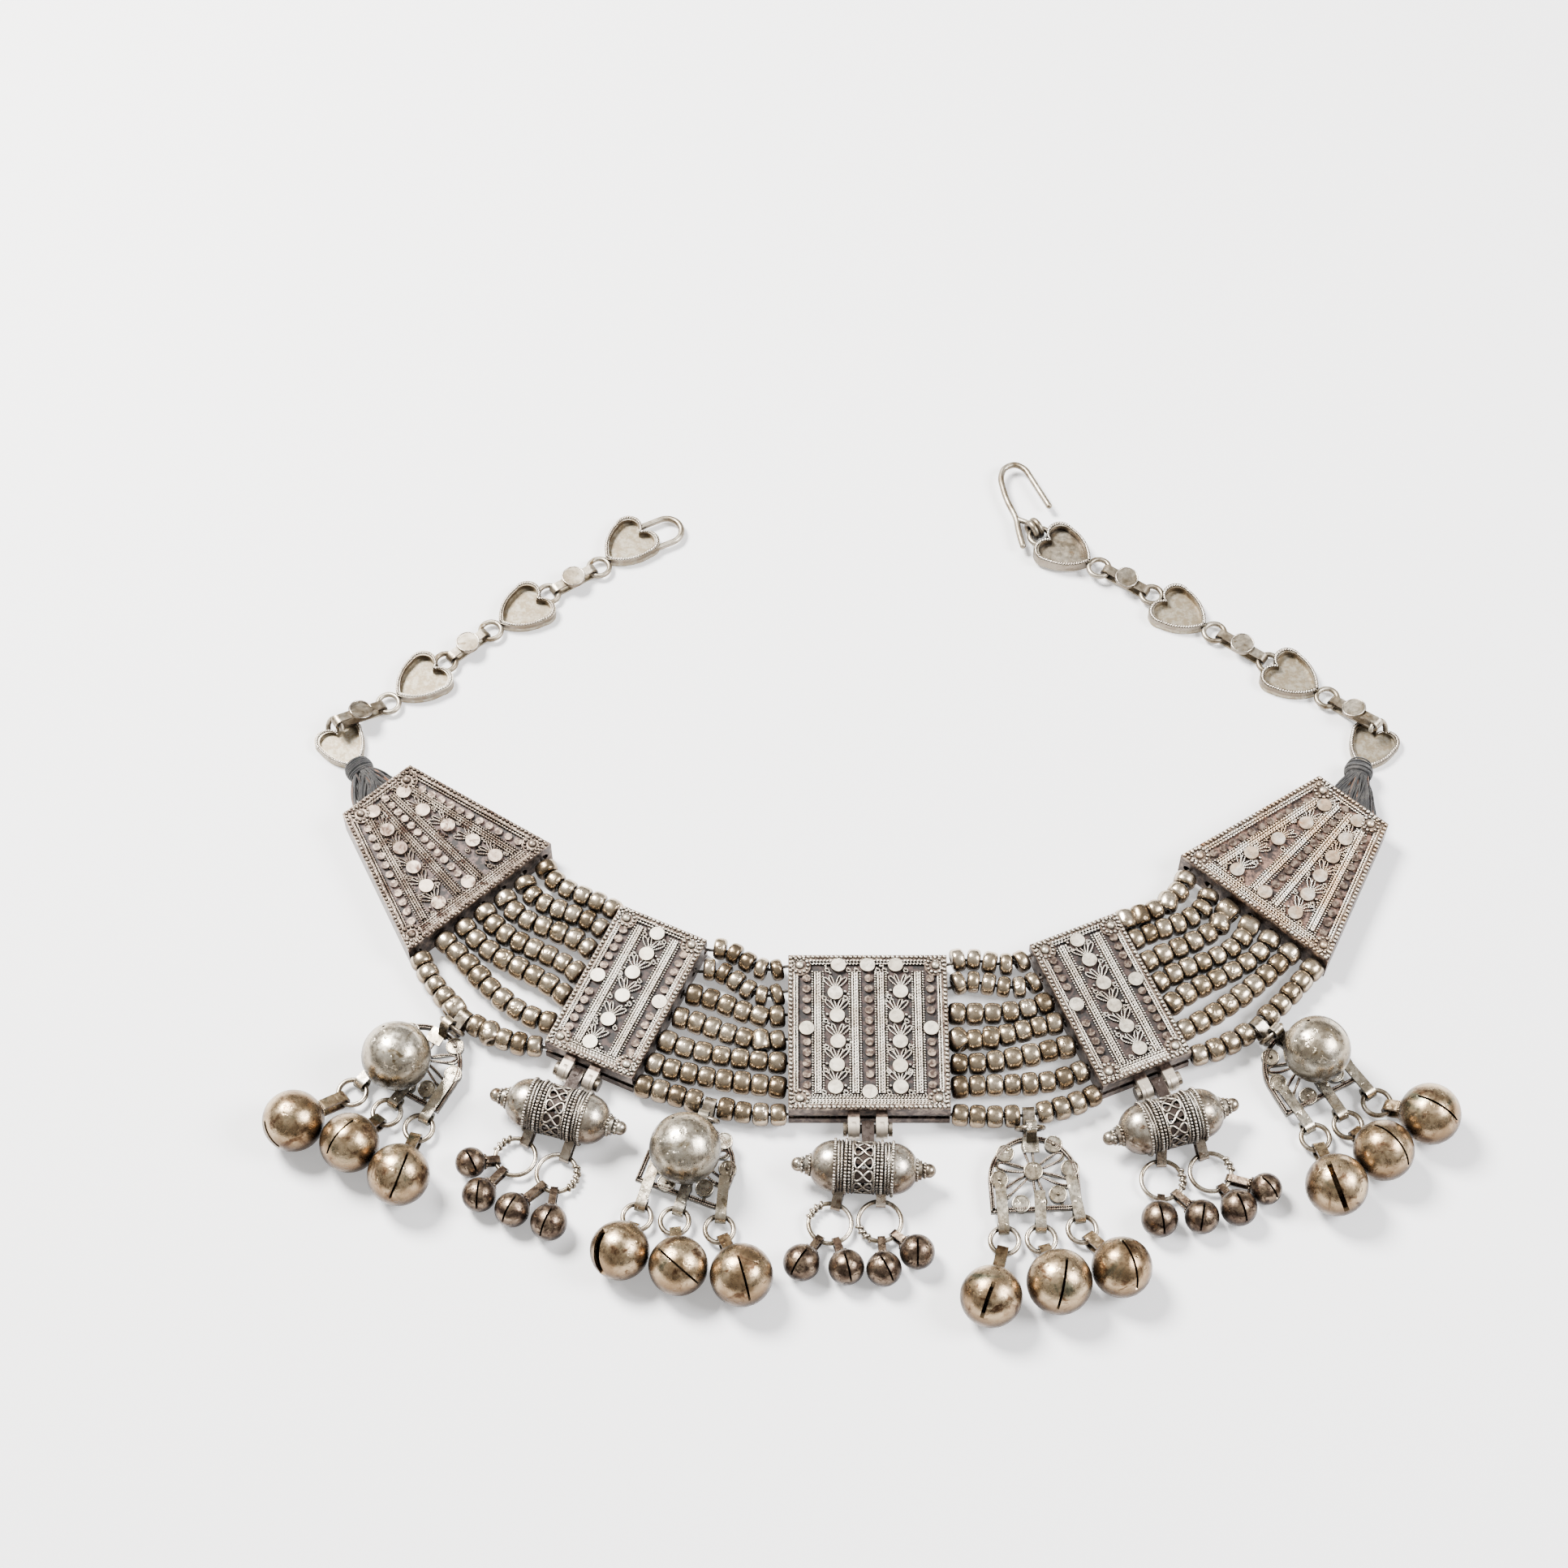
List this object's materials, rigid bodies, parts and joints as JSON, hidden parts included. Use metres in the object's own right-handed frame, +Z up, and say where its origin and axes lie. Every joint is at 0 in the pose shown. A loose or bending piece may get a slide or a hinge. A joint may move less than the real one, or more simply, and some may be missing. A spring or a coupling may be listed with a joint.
{
  "type": "folk silver necklace",
  "caption": "Open silver choker of pierced plaques on bead strings, with hinged amulet cases, belled pendants and heart-link chain ends with a hook clasp.",
  "frame": {"origin": "middle of the necklace's bounding box, on the ground it lies on", "axes": "+X along the longest way across, from the left end plaque to the right one as pictured; +Y from the hanging bells to the clasp; +Z up from the ground, the faces of the plaques looking up"},
  "size_m": [0.2083, 0.1827, 0.0148],
  "materials": {
    "dark_plaque_silver": "worn, darkened in the recesses",
    "plaque_silver": "worn, darkened in the recesses",
    "case_silver": "worn, tarnished below",
    "pin_silver": "worn",
    "bead_silver": "bright, dented",
    "thread": "matte twisted thread",
    "black_thread": "matte bound thread",
    "pendant_silver": "worn, patches of tarnish",
    "wire_silver": "worn",
    "bell_silver": "low silver with a warm brown tarnish",
    "dark_bell_silver": "low silver, dark mottled tarnish",
    "chain_silver": "bright rims, brown recesses"
  },
  "bodies": {
    "necklace": {"bail_ring_1": "wire_silver", "bail_ring_2": "wire_silver", "bail_ring_3": "wire_silver", "bail_ring_4": "wire_silver", "bead_string_1": "bead_silver", "bead_string_2": "bead_silver", "bead_string_3": "bead_silver", "bead_string_4": "bead_silver", "bead_string_5": "bead_silver", "bead_string_6": "bead_silver", "bead_string_7": "bead_silver", "bell_rings_1": "wire_silver", "bell_rings_2": "wire_silver", "bell_rings_3": "wire_silver", "bell_rings_4": "wire_silver", "centre_plaque": "plaque_silver", "chain_left": "chain_silver", "chain_right": "chain_silver", "clasp_eye": "chain_silver", "clasp_hook": "chain_silver", "end_plaque_left": "dark_plaque_silver", "end_plaque_right": "plaque_silver", "hinge_pin_centre": "pin_silver", "hinge_pin_left": "pin_silver", "hinge_pin_right": "pin_silver", "knot_left": "black_thread", "knot_right": "black_thread", "mid_plaque_left": "plaque_silver", "mid_plaque_right": "plaque_silver", "pendant_bail_1": "wire_silver", "pendant_bail_2": "wire_silver", "pendant_bail_3": "wire_silver", "pendant_bail_4": "wire_silver", "pendant_bell_1_1": "bell_silver", "pendant_bell_1_2": "bell_silver", "pendant_bell_1_3": "bell_silver", "pendant_bell_2_1": "bell_silver", "pendant_bell_2_2": "bell_silver", "pendant_bell_2_3": "bell_silver", "pendant_bell_3_1": "bell_silver", "pendant_bell_3_2": "bell_silver", "pendant_bell_3_3": "bell_silver", "pendant_bell_4_1": "bell_silver", "pendant_bell_4_2": "bell_silver", "pendant_bell_4_3": "bell_silver", "pendant_plate_1": "pendant_silver", "pendant_plate_2": "pendant_silver", "pendant_plate_3": "pendant_silver", "pendant_plate_4": "pendant_silver", "stringing_threads": "thread"},
    "amulet_left": {"amulet_case_left": "case_silver", "amulet_rings_left": "wire_silver", "amulet_bells_left": "dark_bell_silver"},
    "amulet_centre": {"amulet_case_centre": "case_silver", "amulet_rings_centre": "wire_silver", "amulet_bells_centre": "dark_bell_silver"},
    "amulet_right": {"amulet_case_right": "case_silver", "amulet_rings_right": "wire_silver", "amulet_bells_right": "dark_bell_silver"}
  },
  "joints": [
    {"name": "amulet_left_swing", "type": "hinge", "parent": "necklace", "child": "amulet_left", "pos_m": [-0.04981, -0.04457, 0.0029], "axis": [-0.907, 0.421, 0], "range_deg": [0, 75]},
    {"name": "amulet_centre_swing", "type": "hinge", "parent": "necklace", "child": "amulet_centre", "pos_m": [0.0011, -0.0547, 0.0029], "axis": [-1, 0, 0], "range_deg": [0, 75]},
    {"name": "amulet_right_swing", "type": "hinge", "parent": "necklace", "child": "amulet_right", "pos_m": [0.05212, -0.04632, 0.0029], "axis": [-0.9219, -0.3875, 0], "range_deg": [0, 75]}
  ]
}
